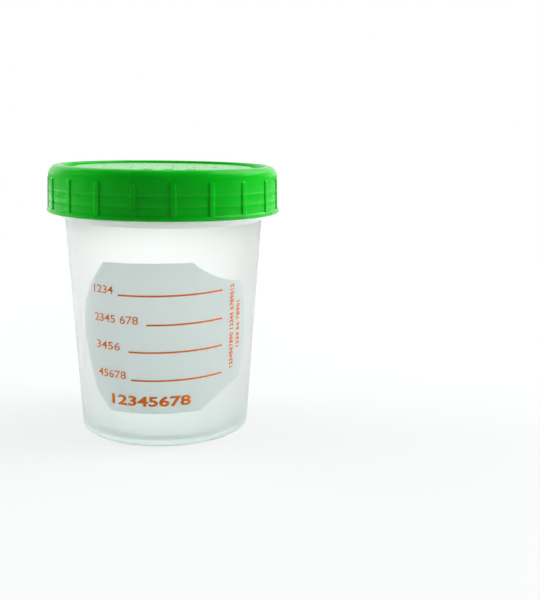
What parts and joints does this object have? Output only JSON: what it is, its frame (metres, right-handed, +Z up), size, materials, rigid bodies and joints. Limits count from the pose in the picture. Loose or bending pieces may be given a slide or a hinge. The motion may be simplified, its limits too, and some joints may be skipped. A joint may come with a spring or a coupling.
{
  "type": "specimen container",
  "caption": "Tapered translucent cup with a foot ring and screw neck, closed by a ribbed green screw cap with a plug seal, and a wrapped write-on label.",
  "frame": {"origin": "centre of the foot ring, on the table that the cup stands on", "axes": "+Z up along the axis of the cup and cap; -Y towards the middle of the label; +X to the right when the label is read"},
  "size_m": [0.066, 0.066, 0.076],
  "materials": {
    "cup": "translucent natural polypropylene, injection moulded, satin",
    "cap": "green polyethylene, injection moulded, semi-gloss",
    "label": "pale grey film label with orange print"
  },
  "bodies": {
    "cup": {"cup": "cup", "label": "label"},
    "cap": {"cap": "cap"}
  },
  "joints": [
    {"name": "cap_lift", "type": "slide", "parent": "cup", "child": "cap", "axis": [0, 0, 1], "range_m": [0, 0.07]}
  ]
}
